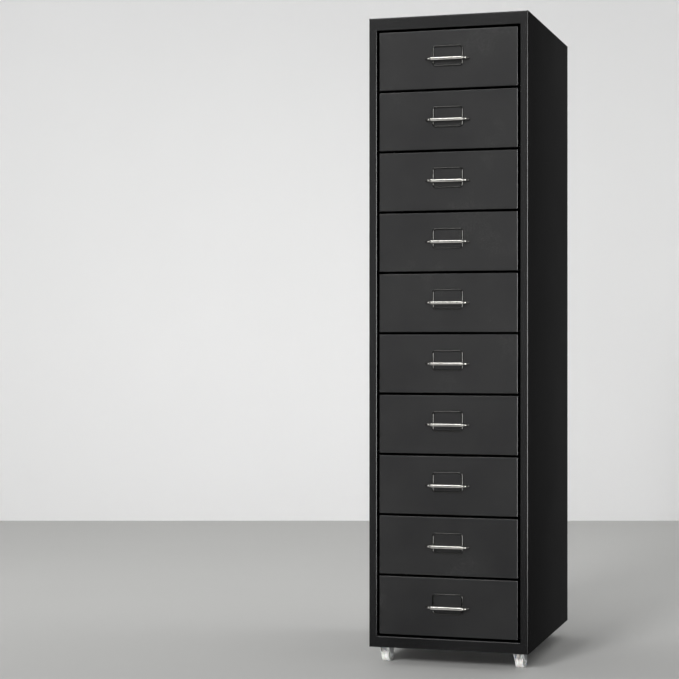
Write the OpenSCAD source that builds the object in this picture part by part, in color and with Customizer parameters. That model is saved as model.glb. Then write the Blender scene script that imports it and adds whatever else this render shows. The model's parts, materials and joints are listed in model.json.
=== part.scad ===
// Tall ten-drawer chest of folded sheet steel, on four swivel casters. All sizes are in millimetres.
// X runs to the right, Y to the back and Z up. The origin is on the floor, below the middle of the
// whole chest, which reaches from the front of the pulls to the screw heads on the back.

/* [Body] */
// Width of the body
body_w = 280; // [270:1:300]
// Depth of the body, from its front borders to the screw heads on its back
body_d = 400; // [385:1:430]
// Height of the body without the casters
body_h = 1092; // [1080:1:1110]
// Gap between the floor and the lower edge of the body
floor_gap = 30; // [30:0.5:34]
// Thickness of the sheet steel
sheet = 0.8; // [0.7:0.1:1]
// Outer radius of the bends in the body panels
body_bend = 2; // [1.5:0.1:2.5]
// Width of the border on each side of the drawers
side_border = 14; // [12:0.5:18]
// Height of the border above the drawers
top_border = 21.5; // [18:0.5:26]
// Height of the border below the drawers
bottom_border = 19.5; // [18:0.5:24]
// How far the borders are folded back into the body
border_return = 10; // [8:0.5:12]
// Width of the flange at the back of each side panel
back_flange = 12; // [10:0.5:16]
// Height of the bottom plate above the lower edge of the body
plate_rise = 6; // [5:0.5:7]

/* [Drawers] */
// Gap above, below and between the drawer fronts
front_gap = 4; // [3:0.5:6]
// Gap between a drawer front and the side borders
front_side_gap = 4; // [3:0.5:5]
// How far the drawer fronts lie behind the borders
front_recess = 1.5; // [1:0.1:2.5]
// Outer radius of the bends in the drawers
drawer_bend = 1.6; // [1.2:0.1:2]
// Depth of the folded edges of a drawer front
front_return = 10; // [8:0.5:11]
// Gap between the drawer tray and the side borders
tray_side_gap = 8; // [7:0.5:10]
// Distance from the drawer's back to the rear edge of the side panels
tray_back_gap = 15.6; // [15:0.1:40]
// Height of the tray above the lower edge of its front
tray_lift = 3; // [3:0.1:4]
// How far the rim of the tray is below the upper edge of its front
rim_drop = 4.7; // [4:0.1:12]
// Height of the double hem around the rim of the tray
hem_h = 8; // [6:0.5:10]
// Free play between a tray and its rails
slide_play = 0.3; // [0.2:0.1:0.5]
// How far a drawer opens before it meets its stops
travel = 300; // [250:5:300]

/* [Pulls] */
// Distance between the feet of a pull
pull_foot_w = 74; // [70:1:80]
// Length of the thick straight rod of a pull
pull_rod_w = 55; // [50:1:56]
// Diameter of the thick rod
pull_rod_d = 6; // [5:0.5:6]
// Diameter of the thin ends of a pull
pull_wire_d = 3.4; // [3:0.2:4]
// Distance of the rod's axis from the drawer front
pull_reach = 10.5; // [10:0.5:12]
// Width of the label frame
frame_w = 54; // [50:1:58]
// Height of the label frame
frame_h = 36; // [32:1:38]
// Diameter of the label frame's wire
frame_wire_d = 2.8; // [2.6:0.1:3]
// Outer radius of the label frame's corners
frame_corner = 6; // [5:0.5:8]
// Height of the label frame's middle above the pull
frame_rise = 5.7; // [5:0.1:6.5]
// Gap between the label frame and the drawer front, for a card
card_gap = 0.6; // [0.4:0.1:0.8]

/* [Casters] */
// Diameter of a caster wheel
wheel_d = 25; // [24:0.5:25]
// Width of a caster wheel
wheel_w = 14.5; // [13:0.5:15]
// Distance of the wheel's axle from the swivel axis
trail = 8; // [7:0.5:8]
// Distance of a front caster's swivel axis from the side of the body
caster_inset_front = 21; // [21:0.5:30]
// Distance of a rear caster's swivel axis from the side of the body
caster_inset_rear = 42; // [21:0.5:50]
// Distance of a caster's swivel axis from the front borders or the back flanges
caster_inset_y = 34; // [29:0.5:38]
// Resting swivel angles: front left, front right, rear left, rear right
swivel = [-9, -6, 24, -15]; // [-180:1:180]

/* [Hidden] */
$fn = 48;
// Parts of one solid lap by eps, and cuts run past the metal by cut, or by past where a whole side is open.
eps = 0.01;
cut = 1;
past = 20;
drawer_count = 10;

// Body
half_w = body_w / 2;
screw_head_h = 1.6;
side_d = body_d - sheet - screw_head_h;
pull_out = pull_reach + pull_rod_d / 2 - front_recess;
front_y = pull_out - (body_d + pull_out) / 2;
side_back_y = front_y + side_d;
low_z = floor_gap;
high_z = floor_gap + body_h;
plate_z = low_z + plate_rise;
opening_half_w = half_w - side_border;
seam = 0.1;
border_half_w = half_w - body_bend - seam;
skirt_h = top_border - sheet - 2;
bottom_skirt_h = bottom_border - plate_rise - 1;
skirt_inset = 14;
back_inset = 1;

// Drawers
pitch = (body_h - top_border - bottom_border - front_gap) / drawer_count;
front_h = pitch - front_gap;
front_half_w = opening_half_w - front_side_gap;
tray_half_w = opening_half_w - tray_side_gap;
face_y = front_y + front_recess;
tray_back_y = side_back_y - tray_back_gap;
rim_h = front_h - rim_drop;
hem_t = 2 * sheet;

// Rails
rail_t = 1;
rail_web_h = 20;
rail_overlap = 8;
rail_front_y = front_y + border_return + 4;
rail_back_y = tray_back_y + slide_play + rail_t;
back_stop_h = 8;
stop_z = 13;
stop_h = 6;
ear_reach = 5.5;
ear_inset = 6;
stop_play = 0.5;
tab_clear = 3.5;

// Pulls: the wire leaves the rod, slants back, then runs straight through the drawer front
wire_start_x = pull_rod_w / 2 + 3.5;
wire_angle = 50;
wire_bend = 3;
lap = 0.3;
lap_r = 0.02;
rivet_h = 1;
rivet_over = 0.9;
hole_play = 0.1;

// Casters
plate_t = 1.6;
caster_plate_w = 36;
caster_plate_corner = 4;
cup_r = 12;
cup_h = 4;
cup_step = 1;
fork_t = 1.2;
fork_half_w = 8.1;
fork_boss_r = 5;
fork_front = 7;
fork_drop = 5;
fork_edge_angle = 218.5;
swivel_play = 0.2;
pin_r = 2.5;
pin_head_r = 4.4;
pin_head_h = 1.4;
pin_flange_r = 4;
pin_flange_h = 0.8;
axle_r = 2;
axle_head_r = 3.4;
axle_head_h = 1.2;
wheel_shoulder = 1.6;
groove_w = 1.6;
groove_depth = 0.9;
hub_t = 3;
rim_t = 2.6;
hollow_depth = 0.8;
running_play = 0.06;
plate_low_z = plate_z - plate_t;
cup_high_z = plate_low_z - swivel_play;
crown_high_z = cup_high_z - cup_h;
crown_low_z = crown_high_z - fork_t;
axle_z = wheel_d / 2;

// Screws
screw_r = 1.6;
screw_hole_r = 1.7;
screw_head_r = 3.4;
screw_l = 8;
screw_grid = 13;
recess_w = 0.8;
recess_l = 3.6;
recess_depth = 0.9;
back_screw_inset = 6;
back_screw_end = 60;
back_screw_half = 65;

caster_names = ["caster_front_left", "caster_front_right", "caster_rear_left", "caster_rear_right"];

front_caster_x = half_w - caster_inset_front;
rear_caster_x = half_w - caster_inset_rear;
front_caster_y = front_y + caster_inset_y;
rear_caster_y = side_back_y - caster_inset_y;
caster_xy = [[-front_caster_x, front_caster_y], [front_caster_x, front_caster_y],
             [-rear_caster_x, rear_caster_y], [rear_caster_x, rear_caster_y]];
back_screw_z = [for (k = [0:3]) low_z + back_screw_end + k * (body_h - 2 * back_screw_end) / 3];
back_screw_x = [-back_screw_half, back_screw_half];

paint = [0.13, 0.13, 0.135];
inside_paint = [0.17, 0.17, 0.175];
chrome = [0.75, 0.76, 0.78];
dark_nickel = [0.4, 0.4, 0.39];
zinc = [0.62, 0.63, 0.65];
nylon = [0.9, 0.9, 0.88];

// Drawers are numbered from the top.
function two(i) = i < 10 ? str("0", i) : str(i);
function drawer_z(i) = high_z - top_border - i * pitch;
function pull_z(i) = drawer_z(i) + front_h / 2;

// ---- helpers ----

// A box from its lowest corner to its highest corner.
module box(a, b) {
    translate(a) cube(b - a);
}

// A rectangle with round corners, from its lowest corner to its highest corner.
module round_rect(a, b, r) {
    translate([a.x + r, a.y]) square([b.x - a.x - 2 * r, b.y - a.y]);
    translate([a.x, a.y + r]) square([b.x - a.x, b.y - a.y - 2 * r]);
    for (x = [a.x + r, b.x - r], y = [a.y + r, b.y - r])
        translate([x, y]) circle(r);
}

// The wall of a rectangular tube bent from sheet of thickness t, in plan.
module sheet_ring(a, b, r, t) {
    difference() {
        round_rect(a, b, r);
        round_rect(a + [t, t], b - [t, t], r - t);
    }
}

// Extrudes an outline drawn in X and Z along Y.
module along_y(y0, y1) {
    translate([0, y1, 0]) rotate([90, 0, 0]) linear_extrude(y1 - y0) children();
}

// Extrudes an outline drawn in Y and Z along X.
module along_x(x0, x1) {
    translate([x0, 0, 0]) rotate([90, 0, 90]) linear_extrude(x1 - x0) children();
}

// A flat-bottomed domed head of radius r and height h, standing on Z = 0.
module dome(r, h) {
    ball_r = (r * r + h * h) / (2 * h);
    intersection() {
        translate([0, 0, h - ball_r]) sphere(ball_r);
        cylinder(r = r + eps, h = h);
    }
}

// A cross-recess screw: the head stands on Z = 0 and the shank runs down.
module screw() {
    difference() {
        dome(screw_head_r, screw_head_h);
        for (a = [0, 90])
            rotate(a) translate([-recess_l / 2, -recess_w / 2, screw_head_h - recess_depth])
                cube([recess_l, recess_w, recess_depth + cut]);
    }
    translate([0, 0, -screw_l]) cylinder(r = screw_r, h = screw_l + eps);
}

// ---- body ----

module right_panel() {
    difference() {
        translate([0, 0, low_z]) linear_extrude(body_h - sheet) difference() {
            sheet_ring([opening_half_w, front_y], [half_w, side_back_y], body_bend, sheet);
            translate([opening_half_w - cut, front_y + border_return])
                square([half_w - opening_half_w - back_flange + cut, side_d]);
        }
        for (z = [[low_z - cut, low_z + bottom_border], [high_z - top_border, high_z + cut]])
            box([opening_half_w - cut, front_y - cut, z[0]],
                [half_w - body_bend, front_y + border_return + cut, z[1]]);
        for (z = back_screw_z)
            translate([half_w - back_screw_inset, side_back_y + cut, z]) rotate([90, 0, 0])
                cylinder(r = screw_hole_r, h = sheet + 2 * cut);
    }
}

module left_side() {
    color(paint) mirror([1, 0, 0]) right_panel();
}

module right_side() {
    color(paint) right_panel();
}

// Plate over the whole top, with a front border, a back flange and two skirts inside the sides. The border
// reaches to the bends of the side panels, and only its middle is folded back.
module top_panel() {
    border_z = high_z - top_border;
    color(paint) difference() {
        union() {
            along_x(-opening_half_w + seam, opening_half_w - seam) difference() {
                sheet_ring([front_y, border_z], [side_back_y, high_z], body_bend, sheet);
                translate([front_y + border_return, border_z - cut])
                    square([side_d - border_return - sheet, sheet + 2 * cut]);
            }
            along_x(-border_half_w, border_half_w) difference() {
                sheet_ring([front_y, border_z - past], [front_y + past, high_z], body_bend, sheet);
                translate([front_y - cut, border_z - past - cut]) square([past + 2 * cut, past + cut + seam]);
                translate([front_y + body_bend + eps, border_z - past]) square([past, 3 * past]);
            }
            box([-half_w, front_y + body_bend, high_z - sheet], [half_w, side_back_y, high_z]);
            for (s = [-1, 1])
                translate([0, 0, high_z - sheet]) linear_extrude(sheet) intersection() {
                    translate([s * (half_w - body_bend), front_y + body_bend]) circle(body_bend);
                    translate([s * half_w - (s > 0 ? body_bend + seam : 0), front_y])
                        square([body_bend + seam, body_bend + eps]);
                }
            for (x = [-half_w + sheet, half_w - 2 * sheet])
                box([x, front_y + skirt_inset, high_z - sheet - skirt_h],
                    [x + sheet, side_back_y - skirt_inset, high_z - sheet + eps]);
        }
        for (x = back_screw_x)
            translate([x, side_back_y + cut, high_z - top_border / 2]) rotate([90, 0, 0])
                cylinder(r = screw_hole_r, h = sheet + 2 * cut);
    }
}

// Plate a little above the body's lower edge, with a hemmed front border and three flanges that stand up.
module bottom_panel() {
    border_z = low_z + bottom_border;
    color(paint) difference() {
        union() {
            along_x(-opening_half_w + seam, opening_half_w - seam) difference() {
                round_rect([front_y, low_z + sheet], [front_y + 3 * border_return, border_z], body_bend);
                round_rect([front_y + sheet, low_z], [front_y + 4 * border_return, border_z - sheet],
                           body_bend - sheet);
                translate([front_y + border_return, low_z]) square([4 * border_return, 2 * bottom_border]);
            }
            along_x(-border_half_w, border_half_w) {
                translate([front_y + sheet, low_z + sheet]) circle(sheet);
                translate([front_y, low_z + sheet]) square([sheet, bottom_border - sheet - body_bend]);
                translate([front_y + sheet, low_z + sheet]) square([sheet, plate_rise - sheet]);
            }
            for (x = [-border_half_w, opening_half_w - seam - eps])
                box([x, front_y, low_z + sheet],
                    [x + border_half_w - opening_half_w + seam + eps, front_y + sheet, border_z - seam]);
            box([-opening_half_w + seam, front_y + sheet, plate_z],
                [opening_half_w - seam, front_y + border_return + 1, plate_z + sheet]);
            box([-half_w + sheet, front_y + border_return + 1 - eps, plate_z],
                [half_w - sheet, side_back_y - body_bend, plate_z + sheet]);
            box([-half_w + body_bend, side_back_y - body_bend - eps, plate_z],
                [half_w - body_bend, side_back_y - sheet, plate_z + sheet]);
            for (x = [-half_w + sheet, half_w - 2 * sheet])
                box([x, front_y + skirt_inset, plate_z], [x + sheet, side_back_y - skirt_inset,
                                                          plate_z + bottom_skirt_h]);
            box([-half_w + back_flange + seam, side_back_y - sheet, plate_z],
                [half_w - back_flange - seam, side_back_y, plate_z + bottom_skirt_h]);
        }
        for (x = back_screw_x)
            translate([x, side_back_y + cut, plate_z + bottom_skirt_h / 2]) rotate([90, 0, 0])
                cylinder(r = screw_hole_r, h = sheet + 2 * cut);
        for (p = caster_xy, dx = [-1, 1], dy = [-1, 1])
            translate([p.x + dx * screw_grid, p.y + dy * screw_grid, plate_z - cut])
                cylinder(r = screw_hole_r, h = sheet + 2 * cut);
    }
}

// The places of the screws in the back panel, in X and Z.
back_screw_xz = concat(
    [for (s = [-1, 1], z = back_screw_z) [s * (half_w - back_screw_inset), z]],
    [for (x = back_screw_x) [x, high_z - top_border / 2]],
    [for (x = back_screw_x) [x, plate_z + bottom_skirt_h / 2]]);

module back_panel() {
    color(paint) difference() {
        box([-half_w + back_inset, side_back_y, low_z + back_inset],
            [half_w - back_inset, side_back_y + sheet, high_z - back_inset]);
        for (p = back_screw_xz)
            translate([p.x, side_back_y - cut, p.y]) rotate([-90, 0, 0])
                cylinder(r = screw_hole_r, h = sheet + 2 * cut);
    }
}

module back_screws() {
    color(zinc) for (p = back_screw_xz)
        translate([p.x, side_back_y + sheet, p.y]) rotate([-90, 0, 0]) screw();
}

// ---- rails ----

// One rail of the right side: a web on the side panel, a ledge under the tray, a stop at each end.
module rail(i) {
    ledge_top = drawer_z(i + 1) + tray_lift - slide_play;
    web_x = half_w - sheet - rail_t;
    ledge_x = tray_half_w - rail_overlap;
    stop_low = drawer_z(i + 1) + stop_z;
    stop_y = tray_back_y - ear_inset - travel - stop_play - rail_t;
    along_y(rail_front_y, rail_back_y) difference() {
        round_rect([ledge_x - past, ledge_top - rail_t], [web_x + rail_t, ledge_top + rail_web_h + past],
                   drawer_bend);
        round_rect([ledge_x - 2 * past, ledge_top], [web_x, ledge_top + rail_web_h + 2 * past],
                   drawer_bend - rail_t);
        translate([ledge_x - 2 * past, ledge_top - rail_t - cut]) square([2 * past, rail_web_h + 2 * past]);
        translate([ledge_x - 2 * past, ledge_top + rail_web_h - rail_t]) square([body_w, 2 * past]);
    }
    box([ledge_x, rail_back_y - rail_t, ledge_top - eps],
        [tray_half_w + ear_reach, rail_back_y, ledge_top + back_stop_h]);
    box([tray_half_w + tab_clear, stop_y, stop_low], [web_x + eps, stop_y + rail_t, stop_low + stop_h]);
}

module right_runners() {
    color(inside_paint) for (i = [0:drawer_count - 1]) rail(i);
}

module left_runners() {
    color(inside_paint) mirror([1, 0, 0]) for (i = [0:drawer_count - 1]) rail(i);
}

// ---- drawers ----

// A block with bent edges on all four sides of its front, used for the outside and the inside of a front.
module front_block(half, low, high, y, r) {
    back = y + front_return + 4 * r;
    intersection() {
        translate([0, 0, low]) linear_extrude(high - low) round_rect([-half, y], [half, back], r);
        along_x(-half, half) round_rect([y, low], [back, high], r);
    }
}

// Drawer i, counted from 1 at the top: a front with folded edges on a tray with a hemmed rim.
module tray(i) {
    low = drawer_z(i);
    floor_z = low + tray_lift;
    rim_z = low + rim_h;
    shank_r = pull_wire_d / 2 + hole_play;
    peg_r = frame_wire_d / 2 + hole_play;
    difference() {
        union() {
            difference() {
                front_block(front_half_w, low, low + front_h, face_y, drawer_bend);
                front_block(front_half_w - sheet, low + sheet, low + front_h - sheet, face_y + sheet,
                            drawer_bend - sheet);
                box([-half_w, face_y + front_return, low - cut],
                    [half_w, face_y + 3 * front_return, low + pitch]);
            }
            along_y(face_y + sheet - eps, tray_back_y) {
                difference() {
                    round_rect([-tray_half_w, floor_z], [tray_half_w, rim_z + past], drawer_bend);
                    round_rect([-tray_half_w + sheet, floor_z + sheet], [tray_half_w - sheet, rim_z + 2 * past],
                               drawer_bend - sheet);
                    translate([-half_w, rim_z - sheet]) square([body_w, 2 * past]);
                }
                for (s = [-1, 1]) hem(s * tray_half_w, -s, rim_z);
            }
            along_x(-tray_half_w + sheet - eps, tray_half_w - sheet + eps) {
                translate([tray_back_y - sheet, floor_z]) square([sheet, rim_z - sheet - floor_z]);
                hem(tray_back_y, -1, rim_z);
            }
            for (s = [-1, 1])
                box([min(s * (tray_half_w - eps), s * (tray_half_w + ear_reach)), tray_back_y - ear_inset,
                     low + stop_z],
                    [max(s * (tray_half_w - eps), s * (tray_half_w + ear_reach)),
                     tray_back_y - ear_inset + sheet, low + stop_z + stop_h]);
        }
        for (s = [-1, 1]) {
            translate([s * pull_foot_w / 2, face_y - cut, low + front_h / 2]) rotate([-90, 0, 0])
                cylinder(r = shank_r, h = sheet + 2 * cut);
            translate([s * (frame_w - frame_wire_d) / 2, face_y - cut, low + front_h / 2 + frame_rise])
                rotate([-90, 0, 0]) cylinder(r = peg_r, h = sheet + 2 * cut);
        }
    }
}

// A closed hem: its outer face is at u, it is folded towards side dir, and its round top is at height z.
module hem(u, dir, z) {
    low_u = min(u, u + dir * hem_t);
    translate([low_u, z - hem_h]) square([hem_t, hem_h - sheet]);
    translate([low_u + sheet, z - sheet]) circle(sheet);
}

// The thick rod of a pull, its two thin slanted ends, and its feet, riveted over behind the drawer front.
// The straight stretches are a hair thicker than the bends and lap over them, so that each pull is one solid.
module pull(i) {
    foot_x = pull_foot_w / 2;
    bend_r = pull_wire_d / 2;
    wire_r = bend_r + lap_r;
    slant_l = (foot_x - wire_start_x - wire_bend) / cos(wire_angle);
    foot_y = wire_bend + slant_l * sin(wire_angle);
    translate([0, face_y - pull_reach, pull_z(i)]) {
        rotate([0, 90, 0]) cylinder(d = pull_rod_d, h = pull_rod_w, center = true);
        for (s = [0, 1]) mirror([s, 0, 0]) {
            translate([pull_rod_w / 2, 0, 0]) rotate([0, 90, 0])
                cylinder(r1 = pull_rod_d / 2, r2 = wire_r, h = wire_start_x - pull_rod_w / 2 + lap);
            translate([wire_start_x, wire_bend, 0]) {
                rotate(-90) rotate_extrude(angle = wire_angle) translate([wire_bend, 0]) circle(bend_r);
                rotate(wire_angle) translate([-lap, -wire_bend, 0]) rotate([0, 90, 0])
                    cylinder(r = wire_r, h = slant_l + 2 * lap);
            }
            translate([foot_x - wire_bend, foot_y, 0]) rotate(wire_angle - 90)
                rotate_extrude(angle = 90 - wire_angle) translate([wire_bend, 0]) circle(bend_r);
            translate([foot_x, foot_y - lap, 0]) rotate([-90, 0, 0])
                cylinder(r = wire_r, h = pull_reach - foot_y + lap + sheet + rivet_h / 2);
            translate([foot_x, pull_reach + sheet, 0]) rotate([-90, 0, 0]) dome(wire_r + rivet_over, rivet_h);
        }
    }
}

// A rounded rectangle of wire, held a card's thickness off the front by two pegs riveted over behind it.
module label_frame(i) {
    r = frame_wire_d / 2;
    bend = frame_corner - r;
    half_x = frame_w / 2 - r;
    half_z = frame_h / 2 - r;
    stand = card_gap + r;
    translate([0, face_y - stand, pull_z(i) + frame_rise]) {
        for (s = [-1, 1]) {
            translate([s * half_x, 0, -half_z + bend]) cylinder(r = r, h = 2 * (half_z - bend));
            translate([-half_x + bend, 0, s * half_z]) rotate([0, 90, 0]) cylinder(r = r, h = 2 * (half_x - bend));
            translate([s * half_x, 0, 0]) rotate([-90, 0, 0]) cylinder(r = r, h = stand + sheet + rivet_h / 2);
            translate([s * half_x, stand + sheet, 0]) rotate([-90, 0, 0]) dome(r + rivet_over, rivet_h);
        }
        for (k = [0:3])
            translate([(k == 0 || k == 3 ? 1 : -1) * (half_x - bend), 0, (k < 2 ? 1 : -1) * (half_z - bend)])
                rotate([90, 0, 0]) rotate(k * 90) rotate_extrude(angle = 90) translate([bend, 0]) circle(r);
    }
}

// ---- casters ----

// Places a caster's pieces: the swivel axis is at the origin and the wheel trails towards +Y.
module at_caster(k) {
    translate([caster_xy[k].x, caster_xy[k].y, 0]) rotate(swivel[k]) children();
}

// The plate stays square to the body.
module caster_plate(k) {
    half = caster_plate_w / 2;
    color(zinc) translate([caster_xy[k].x, caster_xy[k].y, 0]) difference() {
        translate([0, 0, plate_low_z]) linear_extrude(plate_t)
            round_rect([-half, -half], [half, half], caster_plate_corner);
        translate([0, 0, plate_low_z - cut]) cylinder(r = pin_r + running_play, h = plate_t + 2 * cut);
        translate([0, 0, plate_z - pin_flange_h]) cylinder(r = pin_flange_r + running_play, h = cut);
        for (x = [-screw_grid, screw_grid], y = [-screw_grid, screw_grid])
            translate([x, y, plate_low_z - cut]) cylinder(r = screw_hole_r, h = plate_t + 2 * cut);
    }
}

module kingpin(k) {
    head_top = crown_low_z - swivel_play;
    color(zinc) translate([caster_xy[k].x, caster_xy[k].y, 0]) {
        translate([0, 0, head_top - eps]) cylinder(r = pin_r, h = plate_z - head_top + eps);
        translate([0, 0, plate_z - pin_flange_h]) cylinder(r = pin_flange_r, h = pin_flange_h);
        translate([0, 0, head_top]) rotate([180, 0, 0]) dome(pin_head_r, pin_head_h);
    }
}

module fork(k) {
    outer = fork_half_w + fork_t;
    edge_r = fork_boss_r - 2 * eps;
    edge = [trail + edge_r * cos(fork_edge_angle), axle_z + edge_r * sin(fork_edge_angle)];
    color(zinc) at_caster(k) difference() {
        union() {
            translate([0, 0, crown_high_z - eps]) cylinder(r = cup_r - cup_step, h = cup_h + eps);
            translate([0, 0, crown_low_z]) cylinder(r = cup_r, h = fork_t);
            box([-outer, -fork_front, crown_low_z], [outer, trail + fork_boss_r, crown_high_z]);
            for (x = [-outer, fork_half_w]) along_x(x, x + fork_t) {
                translate([trail, axle_z]) circle(fork_boss_r);
                polygon([[-fork_front, crown_low_z + eps], [trail + fork_boss_r, crown_low_z + eps],
                         [trail + fork_boss_r, axle_z], edge, [-fork_front, crown_low_z - fork_drop]]);
            }
        }
        translate([0, 0, crown_low_z - cut]) cylinder(r = pin_r + running_play, h = cup_h + fork_t + 2 * cut);
        translate([-outer - cut, trail, axle_z]) rotate([0, 90, 0])
            cylinder(r = axle_r + running_play, h = 2 * outer + 2 * cut);
    }
}

module axle(k) {
    outer = fork_half_w + fork_t;
    color(chrome) at_caster(k) translate([0, trail, axle_z]) {
        rotate([0, 90, 0]) cylinder(r = axle_r, h = 2 * (outer + eps), center = true);
        for (a = [-90, 90]) rotate([0, a, 0]) translate([0, 0, outer]) dome(axle_head_r, axle_head_h);
    }
}

// A solid wheel with rounded shoulders, a groove around its tread and a hollow in each side.
module wheel(k) {
    r = wheel_d / 2;
    bore_r = axle_r + running_play;
    shoulder_r = r - wheel_shoulder;
    hub_r = axle_r + hub_t;
    color(nylon) at_caster(k) translate([0, trail, axle_z]) rotate([0, 90, 0]) rotate_extrude() difference() {
        union() {
            translate([bore_r, -wheel_w / 2]) square([shoulder_r - bore_r, wheel_w]);
            translate([shoulder_r - eps, -wheel_w / 2 + wheel_shoulder])
                square([wheel_shoulder + eps, wheel_w - 2 * wheel_shoulder]);
            for (y = [-1, 1]) translate([shoulder_r, y * (wheel_w / 2 - wheel_shoulder)]) circle(wheel_shoulder);
        }
        translate([r - groove_depth, -groove_w / 2]) square([groove_depth + cut, groove_w]);
        for (y = [-1, 1])
            translate([hub_r, y * wheel_w / 2 - hollow_depth]) square([r - rim_t - hub_r, 2 * hollow_depth]);
    }
}

module caster_screws() {
    color(zinc) for (p = caster_xy, x = [-screw_grid, screw_grid], y = [-screw_grid, screw_grid])
        translate([p.x + x, p.y + y, plate_low_z]) rotate([180, 0, 0]) screw();
}

// ---- nodes ----

left_side();
right_side();
top_panel();
bottom_panel();
back_panel();
left_runners();
right_runners();
back_screws();
caster_screws();
for (i = [1:drawer_count]) {
    color(paint) tray(i);
    color(chrome) pull(i);
    color(dark_nickel) label_frame(i);
}
for (k = [0:3]) {
    caster_plate(k);
    kingpin(k);
    fork(k);
    axle(k);
    wheel(k);
}
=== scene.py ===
"""Looks of the tall ten-drawer chest: meshes, materials, light and camera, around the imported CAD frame."""

import json
import math

import bmesh
import bpy
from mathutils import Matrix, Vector

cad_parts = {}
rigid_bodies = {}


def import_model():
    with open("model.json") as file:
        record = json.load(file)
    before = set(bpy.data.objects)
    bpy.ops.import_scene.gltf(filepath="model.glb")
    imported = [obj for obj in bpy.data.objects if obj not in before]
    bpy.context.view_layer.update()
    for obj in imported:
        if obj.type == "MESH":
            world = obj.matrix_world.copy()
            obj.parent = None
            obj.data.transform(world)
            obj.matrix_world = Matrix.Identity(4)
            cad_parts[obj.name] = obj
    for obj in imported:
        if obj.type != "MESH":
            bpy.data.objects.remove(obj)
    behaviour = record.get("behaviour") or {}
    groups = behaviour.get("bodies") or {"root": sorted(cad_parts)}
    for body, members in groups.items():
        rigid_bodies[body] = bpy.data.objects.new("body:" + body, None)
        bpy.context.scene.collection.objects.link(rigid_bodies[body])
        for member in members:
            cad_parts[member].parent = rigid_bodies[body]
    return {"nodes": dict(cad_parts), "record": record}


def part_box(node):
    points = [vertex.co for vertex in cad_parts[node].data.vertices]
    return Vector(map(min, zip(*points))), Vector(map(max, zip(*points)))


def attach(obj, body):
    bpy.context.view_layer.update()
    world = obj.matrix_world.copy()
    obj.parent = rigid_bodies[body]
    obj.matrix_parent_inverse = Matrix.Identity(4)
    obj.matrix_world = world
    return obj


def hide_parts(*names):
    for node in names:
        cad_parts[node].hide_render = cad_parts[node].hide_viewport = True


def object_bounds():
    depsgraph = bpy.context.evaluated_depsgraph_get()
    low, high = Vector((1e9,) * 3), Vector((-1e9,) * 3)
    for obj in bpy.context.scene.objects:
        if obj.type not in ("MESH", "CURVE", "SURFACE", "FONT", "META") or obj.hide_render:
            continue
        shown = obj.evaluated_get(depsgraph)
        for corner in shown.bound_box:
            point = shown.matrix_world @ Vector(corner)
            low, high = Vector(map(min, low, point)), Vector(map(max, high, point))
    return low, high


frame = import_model()
cad_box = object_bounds()
MM = 0.001
NODES = frame["nodes"]
RECORD = frame["record"]
BODY_OF = {n: b for b, members in RECORD["behaviour"]["bodies"].items() for n in members}
SLOT_OF = {s["node"]: s["material_slot"] for s in RECORD["subparts"]}
AXIS_OF = {j["child"]: Vector(j["axis"]) for j in RECORD["behaviour"]["joints"]}
SHARP_ANGLE = math.radians(38)


# ---- materials ----


class Shader:
    """A material's node tree with short calls for adding and joining nodes."""

    def __init__(self, name):
        self.material = bpy.data.materials.new(name)
        self.material.use_nodes = True
        self.tree = self.material.node_tree
        self.shader = self.tree.nodes["Principled BSDF"]
        coords = self.tree.nodes.new("ShaderNodeTexCoord")
        self.place = coords.outputs["Object"]

    def add(self, kind, **values):
        """A new node, with its settings or its input sockets set from the keyword values."""
        node = self.tree.nodes.new(kind)
        for key, value in values.items():
            if hasattr(node, key):
                setattr(node, key, value)
            else:
                node.inputs[key.replace("_", " ")].default_value = value
        return node

    def join(self, out, socket):
        self.tree.links.new(out, socket)

    def stretched(self, scale):
        """Object coordinates scaled by a different factor on each axis."""
        node = self.add("ShaderNodeMapping")
        node.inputs["Scale"].default_value = scale
        self.join(self.place, node.inputs["Vector"])
        return node.outputs["Vector"]

    def noise(self, scale, detail=2.0, vector=None):
        node = self.add("ShaderNodeTexNoise", Scale=scale, Detail=detail)
        self.join(vector or self.place, node.inputs["Vector"])
        return node.outputs["Fac"]

    def ramp(self, value, low, high, out_low, out_high):
        """Maps value from low..high to out_low..out_high, clamped."""
        node = self.add("ShaderNodeMapRange", From_Min=low, From_Max=high, To_Min=out_low, To_Max=out_high)
        self.join(value, node.inputs["Value"])
        return node.outputs["Result"]

    def blend(self, factor, color_a, color_b):
        node = self.add("ShaderNodeMix", data_type="RGBA")
        self.join(factor, node.inputs["Factor"])
        node.inputs[6].default_value = (*color_a, 1)
        node.inputs[7].default_value = (*color_b, 1)
        return node.outputs[2]

    def bump(self, height, strength, distance, normal=None):
        """The surface normal with a relief of the given height in metres, on top of another normal."""
        node = self.add("ShaderNodeBump", Strength=strength, Distance=distance)
        self.join(height, node.inputs["Height"])
        if normal:
            self.join(normal, node.inputs["Normal"])
        return node.outputs["Normal"]


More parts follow.
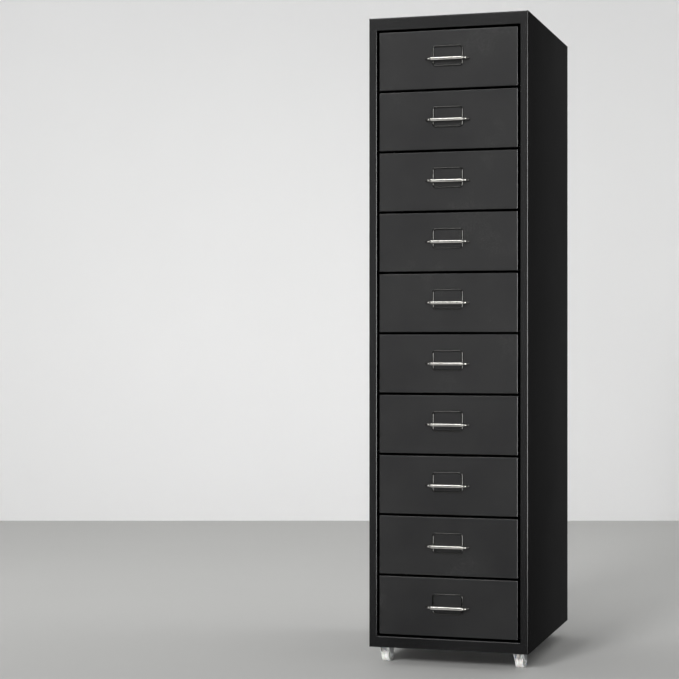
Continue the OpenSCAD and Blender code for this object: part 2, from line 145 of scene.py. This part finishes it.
def powder_coat(name, color, roughness, dusty_color):
    """Semi-gloss black powder coat: fine orange peel, a hardly visible wave of the sheet, faint dust."""
    m = Shader(name)
    cloud = m.noise(9.0, 3.0)
    fine = m.noise(1400.0, 1.0)
    peel = m.noise(420.0, 2.0)
    sheet_wave = m.noise(5.0, 1.0)
    m.join(m.blend(m.ramp(cloud, 0.35, 0.7, 0.0, 1.0), color, dusty_color), m.shader.inputs["Base Color"])
    smear = m.ramp(cloud, 0.3, 0.7, roughness - 0.02, roughness + 0.03)
    grain = m.ramp(fine, 0.3, 0.7, -0.015, 0.015)
    total = m.add("ShaderNodeMath", operation="ADD")
    m.join(smear, total.inputs[0])
    m.join(grain, total.inputs[1])
    m.join(total.outputs[0], m.shader.inputs["Roughness"])
    wavy = m.bump(sheet_wave, 0.35, 0.0012)
    orange_peel = m.bump(peel, 0.05, 0.0002, wavy)
    m.join(m.bump(fine, 0.03, 0.0001, orange_peel), m.shader.inputs["Normal"])
    m.shader.inputs["IOR"].default_value = 1.5
    return m.material


def plated(name, color, dark_color, roughness, scratch_axis, metallic=1.0):
    """Bright plating: polish marks along one axis, small stains and a slightly uneven gloss."""
    m = Shader(name)
    scale = [900.0, 900.0, 900.0]
    scale[scratch_axis] = 40.0
    marks = m.noise(1.0, 3.0, m.stretched(scale))
    stain = m.noise(160.0, 3.0)
    m.join(m.blend(m.ramp(stain, 0.45, 0.75, 0.0, 1.0), color, dark_color), m.shader.inputs["Base Color"])
    m.join(m.ramp(marks, 0.3, 0.7, roughness - 0.04, roughness + 0.06), m.shader.inputs["Roughness"])
    m.join(m.bump(marks, 0.08, 0.00005), m.shader.inputs["Normal"])
    m.shader.inputs["Metallic"].default_value = metallic
    return m.material


def nylon(name):
    """White moulded nylon, a little waxy, with faint grey scuffs on the tread."""
    m = Shader(name)
    scuff = m.noise(260.0, 4.0)
    grain = m.noise(1500.0, 1.0)
    m.join(m.blend(m.ramp(scuff, 0.55, 0.8, 0.0, 1.0), (0.9, 0.9, 0.87), (0.74, 0.74, 0.71)),
           m.shader.inputs["Base Color"])
    m.join(m.ramp(scuff, 0.3, 0.8, 0.3, 0.48), m.shader.inputs["Roughness"])
    m.join(m.bump(grain, 0.05, 0.0001), m.shader.inputs["Normal"])
    m.shader.inputs["Subsurface Weight"].default_value = 0.08
    m.shader.inputs["Subsurface Scale"].default_value = 0.002
    return m.material


MATERIALS = {
    "cabinet_paint": powder_coat("cabinet_powder_coat", (0.005, 0.005, 0.0053), 0.22,
                                 (0.0075, 0.0075, 0.0078)),
    # The drawers take the same black powder coat with a lighter base colour: painted sheen for the brighter
    # look of their fronts.
    "drawer_paint": powder_coat("drawer_powder_coat_painted_sheen", (0.0155, 0.0155, 0.016), 0.24,
                                (0.022, 0.022, 0.022)),
    "runner_paint": powder_coat("runner_powder_coat", (0.012, 0.012, 0.0125), 0.42,
                                (0.016, 0.016, 0.016)),
    "chrome": plated("chrome_wire", (0.52, 0.51, 0.48), (0.4, 0.39, 0.36), 0.16, 0),
    # The label frames' wire is the pulls' chrome with a near-black base colour: painted shade for the dark
    # surroundings it mirrors.
    "dark_nickel": plated("chrome_wire_painted_dark", (0.07, 0.07, 0.067), (0.05, 0.05, 0.048), 0.1, 0),
    "zinc": plated("bright_zinc", (0.8, 0.81, 0.82), (0.64, 0.65, 0.66), 0.36, 2, metallic=0.6),
    "nylon": nylon("white_nylon"),
}


# ---- meshes ----

SAME_POINT = 0.002 * MM
FLAT_ANGLE = math.radians(0.5)


def piece(node, bm):
    """Adds a mesh as the visible piece that stands for a CAD node and rides on its body."""
    name = node + "_shape"
    for face in bm.faces:
        face.smooth = True
    mesh = bpy.data.meshes.new(name)
    bm.to_mesh(mesh)
    bm.free()
    if "custom_normal" in mesh.attributes:
        mesh.attributes.remove(mesh.attributes["custom_normal"])
    mesh.set_sharp_from_angle(angle=SHARP_ANGLE)
    mesh.materials.append(MATERIALS[SLOT_OF[node]])
    obj = bpy.data.objects.new(name, mesh)
    bpy.context.scene.collection.objects.link(obj)
    modifier = obj.modifiers.new("face_weighted_normals", "WEIGHTED_NORMAL")
    modifier.keep_sharp = True
    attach(obj, BODY_OF[node])
    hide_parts(node)


def cad_copy(node, edge):
    """A cleaned copy of a CAD node: flat faces merged and its cut edges rounded off."""
    bm = bmesh.new()
    bm.from_mesh(NODES[node].data)
    bmesh.ops.remove_doubles(bm, verts=bm.verts, dist=SAME_POINT)
    bmesh.ops.dissolve_limit(bm, angle_limit=FLAT_ANGLE, verts=bm.verts, edges=bm.edges)
    bmesh.ops.dissolve_degenerate(bm, edges=bm.edges, dist=SAME_POINT / 2)
    sharp = [e for e in bm.edges if len(e.link_faces) == 2 and e.calc_face_angle(0) > SHARP_ANGLE]
    bmesh.ops.bevel(bm, geom=sharp, offset=edge, offset_type="OFFSET", segments=2, profile=0.6,
                    affect="EDGES", clamp_overlap=True)
    bmesh.ops.remove_doubles(bm, verts=bm.verts, dist=SAME_POINT)
    bmesh.ops.dissolve_degenerate(bm, edges=bm.edges, dist=SAME_POINT)
    piece(node, bm)


def ring_skin(bm, rings, closed):
    """Joins rings of vertices, one after another, with faces. A ring of one vertex is a tip."""
    for a, b in zip(rings, rings[1:] + rings[:1]) if closed else zip(rings, rings[1:]):
        for k in range(max(len(a), len(b))):
            corners = [a[k % len(a)], a[(k + 1) % len(a)], b[(k + 1) % len(b)], b[k % len(b)]]
            corners = [v for n, v in enumerate(corners) if v not in corners[:n]]
            if len(corners) > 2:
                bm.faces.new(corners)


def ring(bm, middle, radius, side, third, sides):
    """Vertices around a circle that lies in the plane of side and third."""
    turns = [2 * math.pi * i / sides for i in range(sides)]
    return [bm.verts.new(middle + radius * (math.cos(t) * side + math.sin(t) * third)) for t in turns]


def wire(bm, path, radii, up, closed=False, sides=24):
    """A round wire along a path that lies in the plane across up, with a radius for each of its points."""
    rings = []
    count = len(path)
    for k, (point, radius) in enumerate(zip(path, radii)):
        before = path[k - 1] if closed or k else point
        after = path[(k + 1) % count] if closed or k + 1 < count else point
        ahead = (after - point).normalized() + (point - before).normalized()
        rings.append(ring(bm, point, radius, up.cross(ahead.normalized()), up, sides))
    ring_skin(bm, rings, closed)
    if not closed:
        bm.faces.new(list(reversed(rings[0])))
        bm.faces.new(rings[-1])


def rounded_path(corners):
    """Points along a bent path: each corner is a point and the radius of the bend there."""
    path = []
    steps = 8
    for k, (corner, radius) in enumerate(corners):
        if not radius:
            path.append(corner)
            continue
        before = (corners[k - 1][0] - corner).normalized()
        after = (corners[(k + 1) % len(corners)][0] - corner).normalized()
        half = before.angle(after) / 2
        centre = corner + (before + after).normalized() * radius / math.sin(half)
        start = corner + before * radius / math.tan(half) - centre
        end = corner + after * radius / math.tan(half) - centre
        sweep = math.pi - 2 * half
        for i in range(steps + 1):
            a, b = (1 - i / steps) * sweep, i / steps * sweep
            path.append(centre + (start * math.sin(a) + end * math.sin(b)) / math.sin(sweep))
    return path


def revolved(bm, profile, centre, axis, closed=False, sides=32):
    """A turned shape: the profile gives (distance along the axis, radius) and may end on the axis."""
    across = axis.orthogonal().normalized()
    third = axis.cross(across)
    rings = []
    for along, radius in profile:
        middle = centre + along * axis
        rings.append(ring(bm, middle, radius, across, third, sides) if radius else [bm.verts.new(middle)])
    ring_skin(bm, rings, closed)


def rivet_head(bm, centre, axis, radius, height):
    """A flattened dome on a low upright rim, whose flat side lies at centre."""
    steps = 8
    rim = 0.08 * height
    profile = [(0, 0), (0, radius)]
    for i in range(steps):
        t = math.pi / 2 * i / steps
        profile.append((rim + (height - rim) * math.sin(t), radius * math.cos(t)))
    revolved(bm, profile + [(height, 0)], centre, axis)


# ---- sheet metal: the CAD shapes, with their cut edges rounded ----

SHEET = 0.8 * MM
CUT_EDGE = 0.12 * MM
WIRE_NODES = [n for n in NODES if n.endswith(("_pull", "_label_frame"))]
WHEELS = [n for n in NODES if n.endswith("_wheel")]
for node in NODES:
    if node not in WIRE_NODES and node not in WHEELS:
        cad_copy(node, CUT_EDGE)


# ---- drawer pulls and label frames: bent wire ----

BACK = Vector((0, 1, 0))
UP = Vector((0, 0, 1))
FOOT_X = 37 * MM
WIRE_R = 1.7 * MM
ARM_SLOPE = math.radians(50)
ARM_CORNER_X = 32.4 * MM
ARM_BEND_R = 3 * MM
FRAME_HALF_W = 27 * MM
FRAME_CORNER_R = 6 * MM
FRAME_WIRE_R = 1.4 * MM
PEG_R = 0.96 * FRAME_WIRE_R
RIVET_OVER = 0.9 * MM
RIVET_H = 1 * MM
# How the thin wire swells into the rod: distances from the middle, and radii, in millimetres.
ROD_END = [(30.4, 1.78), (29.4, 2.05), (28.5, 2.4), (27.9, 2.7), (27.5, 2.88), (27.0, 2.98), (26.4, 3.0)]
ROD_POINTS = (18, 9, 0)


def pull(node, face_y):
    """The thick rod narrows at its ends to thin wire, which slants back and goes through the drawer front."""
    low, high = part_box(node)
    rod_r = (high.z - low.z) / 2
    y = low.y + rod_r
    z = (low.z + high.z) / 2
    back_y = face_y + SHEET
    foot = Vector((FOOT_X, back_y + RIVET_H / 2, z))
    foot_corner = Vector((FOOT_X, y + (FOOT_X - ARM_CORNER_X) * math.tan(ARM_SLOPE), z))
    arm_corner = Vector((ARM_CORNER_X, y, z))
    rod_start = Vector((ROD_END[-1][0] * MM, y, z))
    arm = rounded_path([(foot, 0), (foot_corner, ARM_BEND_R), (arm_corner, ARM_BEND_R), (rod_start, 0)])[:-1]
    right_half = [(p, WIRE_R) for p in arm]
    right_half += [(Vector((x * MM, y, z)), r * MM) for x, r in ROD_END]
    right_half += [(Vector((x * MM, y, z)), rod_r) for x in ROD_POINTS]
    left_half = [(Vector((-p.x, p.y, p.z)), r) for p, r in reversed(right_half[:-1])]
    full = right_half + left_half
    bm = bmesh.new()
    wire(bm, [p for p, _ in full], [r for _, r in full], UP)
    for x in (-FOOT_X, FOOT_X):
        rivet_head(bm, Vector((x, back_y, z)), BACK, WIRE_R + RIVET_OVER, RIVET_H)
    piece(node, bm)


def label_frame(node, face_y):
    """A loop of wire with rounded corners, on two pegs that are riveted over behind the drawer front."""
    low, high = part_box(node)
    r = FRAME_WIRE_R
    y = low.y + r
    x1 = FRAME_HALF_W - r
    z0, z1 = low.z + r, high.z - r
    corners = [Vector((x, y, z)) for x, z in ((-x1, z0), (x1, z0), (x1, z1), (-x1, z1))]
    path = rounded_path([(c, FRAME_CORNER_R - r) for c in corners])
    bm = bmesh.new()
    wire(bm, path, [r] * len(path), BACK, closed=True, sides=20)
    back_y = face_y + SHEET
    z = (z0 + z1) / 2
    for x in (-x1, x1):
        peg = [Vector((x, y, z)), Vector((x, back_y + RIVET_H / 2, z))]
        wire(bm, peg, [PEG_R] * 2, UP, sides=20)
        rivet_head(bm, Vector((x, back_y, z)), BACK, r + RIVET_OVER, RIVET_H)
    piece(node, bm)


for node in WIRE_NODES:
    make = pull if node.endswith("_pull") else label_frame
    make(node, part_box(BODY_OF[node] + "_tray")[0].y)


# ---- caster wheels: turned nylon ----

WHEEL_HALF_W = 7.25 * MM
BORE_R = 2.06 * MM
BORE_CHAMFER = 0.25 * MM
HUB_R = 4.7 * MM
DISH = 0.8 * MM
RIM_H = 2.3 * MM
SHOULDER_R = 1.6 * MM
# The round-bottomed groove in the tread: distances from the middle, and depths, in millimetres.
GROOVE = [(1.1, 0.0), (0.85, 0.12), (0.72, 0.45), (0.5, 0.75), (0.25, 0.87), (0.0, 0.9)]


def wheel(node):
    """A wheel with soft shoulders, a grooved tread and a dished side between its hub and its rim."""
    low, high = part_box(node)
    tread_r = (high.z - low.z) / 2
    rim_r = tread_r - RIM_H
    half_w = WHEEL_HALF_W
    hub = [(half_w - BORE_CHAMFER, BORE_R), (half_w, BORE_R + BORE_CHAMFER), (half_w, HUB_R),
           (half_w - 0.15 * MM, HUB_R + 0.25 * MM), (half_w - 0.75 * MM, HUB_R + 0.45 * MM),
           (half_w - DISH, HUB_R + 0.9 * MM)]
    rim = [(half_w - DISH, rim_r - 0.8 * MM), (half_w - 0.7 * MM, rim_r - 0.45 * MM),
           (half_w - 0.12 * MM, rim_r - 0.25 * MM), (half_w, rim_r)]
    steps = 8
    turns = [math.pi / 2 * i / steps for i in range(steps + 1)]
    shoulder = [(half_w - SHOULDER_R * (1 - math.cos(t)), tread_r - SHOULDER_R * (1 - math.sin(t)))
                for t in turns]
    side = hub + rim + shoulder + [(along * MM, tread_r - depth * MM) for along, depth in GROOVE]
    profile = side + [(-along, radius) for along, radius in reversed(side[:-1])]
    bm = bmesh.new()
    revolved(bm, profile, (low + high) / 2, AXIS_OF[BODY_OF[node]], closed=True, sides=64)
    piece(node, bm)


for node in WHEELS:
    wheel(node)


# ---- stage, light and camera ----

lo, hi = cad_box
body_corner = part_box("right_side")[0]


def flat_material(name, color, roughness):
    """A plain painted surface that is there only when it is looked at from its front."""
    m = Shader(name)
    speck = m.noise(3.0, 4.0)
    shade = tuple(0.97 * c for c in color)
    m.join(m.blend(speck, color, shade), m.shader.inputs["Base Color"])
    m.shader.inputs["Roughness"].default_value = roughness
    m.shader.inputs["Specular IOR Level"].default_value = 0.1
    face = m.add("ShaderNodeNewGeometry")
    clear = m.add("ShaderNodeBsdfTransparent")
    one_sided = m.add("ShaderNodeMixShader")
    output = m.tree.get_output_node("CYCLES")
    m.join(face.outputs["Backfacing"], one_sided.inputs[0])
    m.join(m.shader.outputs[0], one_sided.inputs[1])
    m.join(clear.outputs[0], one_sided.inputs[2])
    m.join(one_sided.outputs[0], output.inputs["Surface"])
    return m.material


def stage_plane(name, corners, material):
    mesh = bpy.data.meshes.new(name)
    mesh.from_pydata(corners, [], [(0, 1, 2, 3)])
    mesh.materials.append(material)
    obj = bpy.data.objects.new(name, mesh)
    bpy.context.scene.collection.objects.link(obj)
    obj.visible_glossy = False


FOCAL_PX = 1799.0
FRAME_PX = 679.0
SENSOR = 36.0
CAMERA_YAW = math.radians(16.87)
CAMERA_FROM_FRONT = Vector((0.7186, -3.0086, 0.5342))
WALL_DEPTH = 5.6
WALL_HEIGHT = Vector((0, 0, 8))
HALF_STAGE = 12.0

camera_data = bpy.data.cameras.new("camera")
camera_data.sensor_width = SENSOR
camera_data.lens = FOCAL_PX / FRAME_PX * SENSOR
camera = bpy.data.objects.new("camera", camera_data)
camera.location = Vector((0, body_corner.y, body_corner.z)) + CAMERA_FROM_FRONT
camera.rotation_euler = (math.radians(90), 0, CAMERA_YAW)
bpy.context.scene.collection.objects.link(camera)
bpy.context.scene.camera = camera

forward = Vector((-math.sin(CAMERA_YAW), math.cos(CAMERA_YAW), 0))
across = Vector((math.cos(CAMERA_YAW), math.sin(CAMERA_YAW), 0))
wall_middle = Vector((camera.location.x, camera.location.y, lo.z)) + forward * WALL_DEPTH
wall_left, wall_right = wall_middle - across * HALF_STAGE, wall_middle + across * HALF_STAGE
near_left, near_right = (p - forward * 2 * HALF_STAGE for p in (wall_left, wall_right))
stage_plane("floor", [near_left, near_right, wall_right, wall_left],
            flat_material("pale_floor", (0.55, 0.55, 0.538), 0.8))
stage_plane("wall", [wall_left, wall_right, wall_right + WALL_HEIGHT, wall_left + WALL_HEIGHT],
            flat_material("pale_wall", (0.8, 0.8, 0.8), 0.9))


def area_light(name, place, target, size, power, gives):
    """A rectangle of light, itself unseen, that gives either "diffuse" light or "glossy" reflections."""
    data = bpy.data.lights.new(name, "AREA")
    data.shape = "RECTANGLE"
    data.size, data.size_y = size
    data.energy = power
    obj = bpy.data.objects.new(name, data)
    obj.location = place
    obj.rotation_euler = (target - Vector(place)).to_track_quat("-Z", "Y").to_euler()
    bpy.context.scene.collection.objects.link(obj)
    obj.visible_camera = False
    obj.visible_glossy = gives == "glossy"
    obj.visible_diffuse = gives == "diffuse"
    return obj


middle = Vector((0, 0, (lo.z + hi.z) / 2))
area_light("key", (-1.0, -4.8, 2.4), middle, (1.1, 1.1), 180, "diffuse")
low_fill = area_light("low_fill", (0.2, -3.3, 0.4), Vector((0.1, 0.0, 0.4)), (4.0, 0.5), 3.6, "diffuse")
low_fill.data.spread = math.radians(30)
wash_foot = wall_middle + across * 1.0
area_light("wall_wash", wash_foot - forward * 2.0 + Vector((0, 0, 1.7)), wash_foot + Vector((0, 0, -0.1)),
           (7.0, 0.8), 30, "diffuse")
area_light("top_strip", (-1.0, -2.3, 2.8), middle, (2.4, 0.5), 50, "glossy")
area_light("rear_strip", (0.24, 1.0, 0.6), Vector((0.14, 0.0, 0.6)), (0.2, 1.6), 0.05, "glossy")
side_strip = area_light("side_strip", (2.0, -1.8, 0.65), middle, (1.3, 1.7), 111, "glossy")

# The side strip draws bright lines on upright wires and edges. The flat top would mirror it as a glare.
side_lit = bpy.data.collections.new("side_lit")
for obj in bpy.context.scene.objects:
    if obj.type == "MESH" and not obj.name.startswith(("top_panel", "floor", "wall")):
        side_lit.objects.link(obj)
side_strip.light_linking.receiver_collection = side_lit

# The world's light. Levels are brightness. An edge is a direction's height, or for the field
# its nearness to straight ahead of the drawer fronts: where the light begins, and where it is full.
FIELD_EDGE = (0.93, 0.975)
FIELD_DARK = 0.012
FIELD_LEVEL = 0.6
HORIZON_EDGE = (-0.17, -0.01)
BELOW_HORIZON = 0.15
GROUND_EDGE = (-0.95, -0.55)
GROUND_LEVEL = 0.8
FLOOR_EDGE = (-0.45, -0.2)
FLOOR_LEVEL = 0.3
SKY_EDGE = (0.25, 0.6)
SKY_LEVEL = 0.4
BACKDROP_LEVEL = 0.7


def world_light():
    """A soft bright field that the drawer fronts reflect, a dim sky, and the glow of a pale floor.
    The camera sees an even pale backdrop in its place."""
    world = bpy.data.worlds.new("studio")
    bpy.context.scene.world = world
    world.use_nodes = True
    tree = world.node_tree
    background = tree.nodes["Background"]
    coords = tree.nodes.new("ShaderNodeTexCoord")
    split = tree.nodes.new("ShaderNodeSeparateXYZ")
    tree.links.new(coords.outputs["Generated"], split.inputs[0])
    facing = tree.nodes.new("ShaderNodeVectorMath")
    facing.operation = "DOT_PRODUCT"
    facing.inputs[1].default_value = (forward.x, -forward.y, 0)
    tree.links.new(coords.outputs["Generated"], facing.inputs[0])

    def span(socket, low, high, out_low, out_high):
        node = tree.nodes.new("ShaderNodeMapRange")
        node.interpolation_type = "SMOOTHSTEP"
        for name, value in zip(("From Min", "From Max", "To Min", "To Max"), (low, high, out_low, out_high)):
            node.inputs[name].default_value = value
        tree.links.new(socket, node.inputs["Value"])
        return node.outputs["Result"]

    def combine(operation, a, b):
        node = tree.nodes.new("ShaderNodeMath")
        node.operation = operation
        tree.links.new(a, node.inputs[0])
        tree.links.new(b, node.inputs[1])
        return node.outputs[0]

    field = span(facing.outputs["Value"], *FIELD_EDGE, FIELD_DARK, FIELD_LEVEL)
    above = span(split.outputs["Z"], *HORIZON_EDGE, BELOW_HORIZON, 1.0)
    ground = span(split.outputs["Z"], *GROUND_EDGE, GROUND_LEVEL, 0.0)
    floor_glow = span(split.outputs["Z"], *FLOOR_EDGE, FLOOR_LEVEL, 0.0)
    sky = span(split.outputs["Z"], *SKY_EDGE, 0.0, SKY_LEVEL)
    level = combine("ADD", combine("MULTIPLY", field, above), combine("ADD", ground, floor_glow))
    path = tree.nodes.new("ShaderNodeLightPath")
    seen = tree.nodes.new("ShaderNodeMix")
    tree.links.new(path.outputs["Is Camera Ray"], seen.inputs["Factor"])
    tree.links.new(combine("ADD", level, sky), seen.inputs["A"])
    seen.inputs["B"].default_value = BACKDROP_LEVEL
    tree.links.new(seen.outputs["Result"], background.inputs["Strength"])
    background.inputs["Color"].default_value = (1.0, 1.0, 1.0, 1)


world_light()
bpy.context.scene.view_settings.view_transform = "Standard"
bpy.context.scene.view_settings.look = "None"
